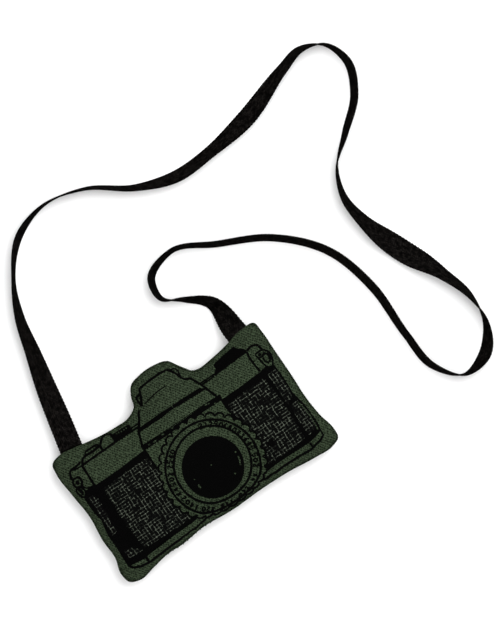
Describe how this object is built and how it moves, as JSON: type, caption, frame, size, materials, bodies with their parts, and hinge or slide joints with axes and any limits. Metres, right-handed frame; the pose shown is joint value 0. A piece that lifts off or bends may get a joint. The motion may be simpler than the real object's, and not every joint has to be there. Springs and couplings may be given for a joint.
{
  "type": "stuffed toy camera",
  "caption": "Stuffed canvas toy in the outline of a film camera, printed on one face, with a webbing neck strap sewn into its top seam and lying in loose curves.",
  "frame": {"origin": "centre of the toy's own box, on the surface that the toy's back rests on; the strap isn't counted", "axes": "+X across the toy, towards its right-hand side as the print is read; +Y towards the prism and the strap; +Z out of the printed front"},
  "size_m": [0.2952, 0.2355, 0.032],
  "materials": {
    "canvas": "dark green plain-weave cotton canvas, matt",
    "ink": "matt black screen print soaked into the canvas",
    "webbing": "black ribbed woven webbing, matt",
    "thread": "dark green spun sewing thread",
    "fibre_fill": "white polyester fibre fill"
  },
  "bodies": {
    "root": {"front_panel": "canvas", "back_panel": "canvas", "stuffing": "fibre_fill", "strap": "webbing", "strap_end_left": "webbing", "strap_end_right": "webbing", "seam_needle_thread": "thread", "seam_bobbin_thread": "thread", "strap_tack_left": "thread", "strap_tack_right": "thread", "closing_stitches": "thread"}
  },
  "joints": []
}
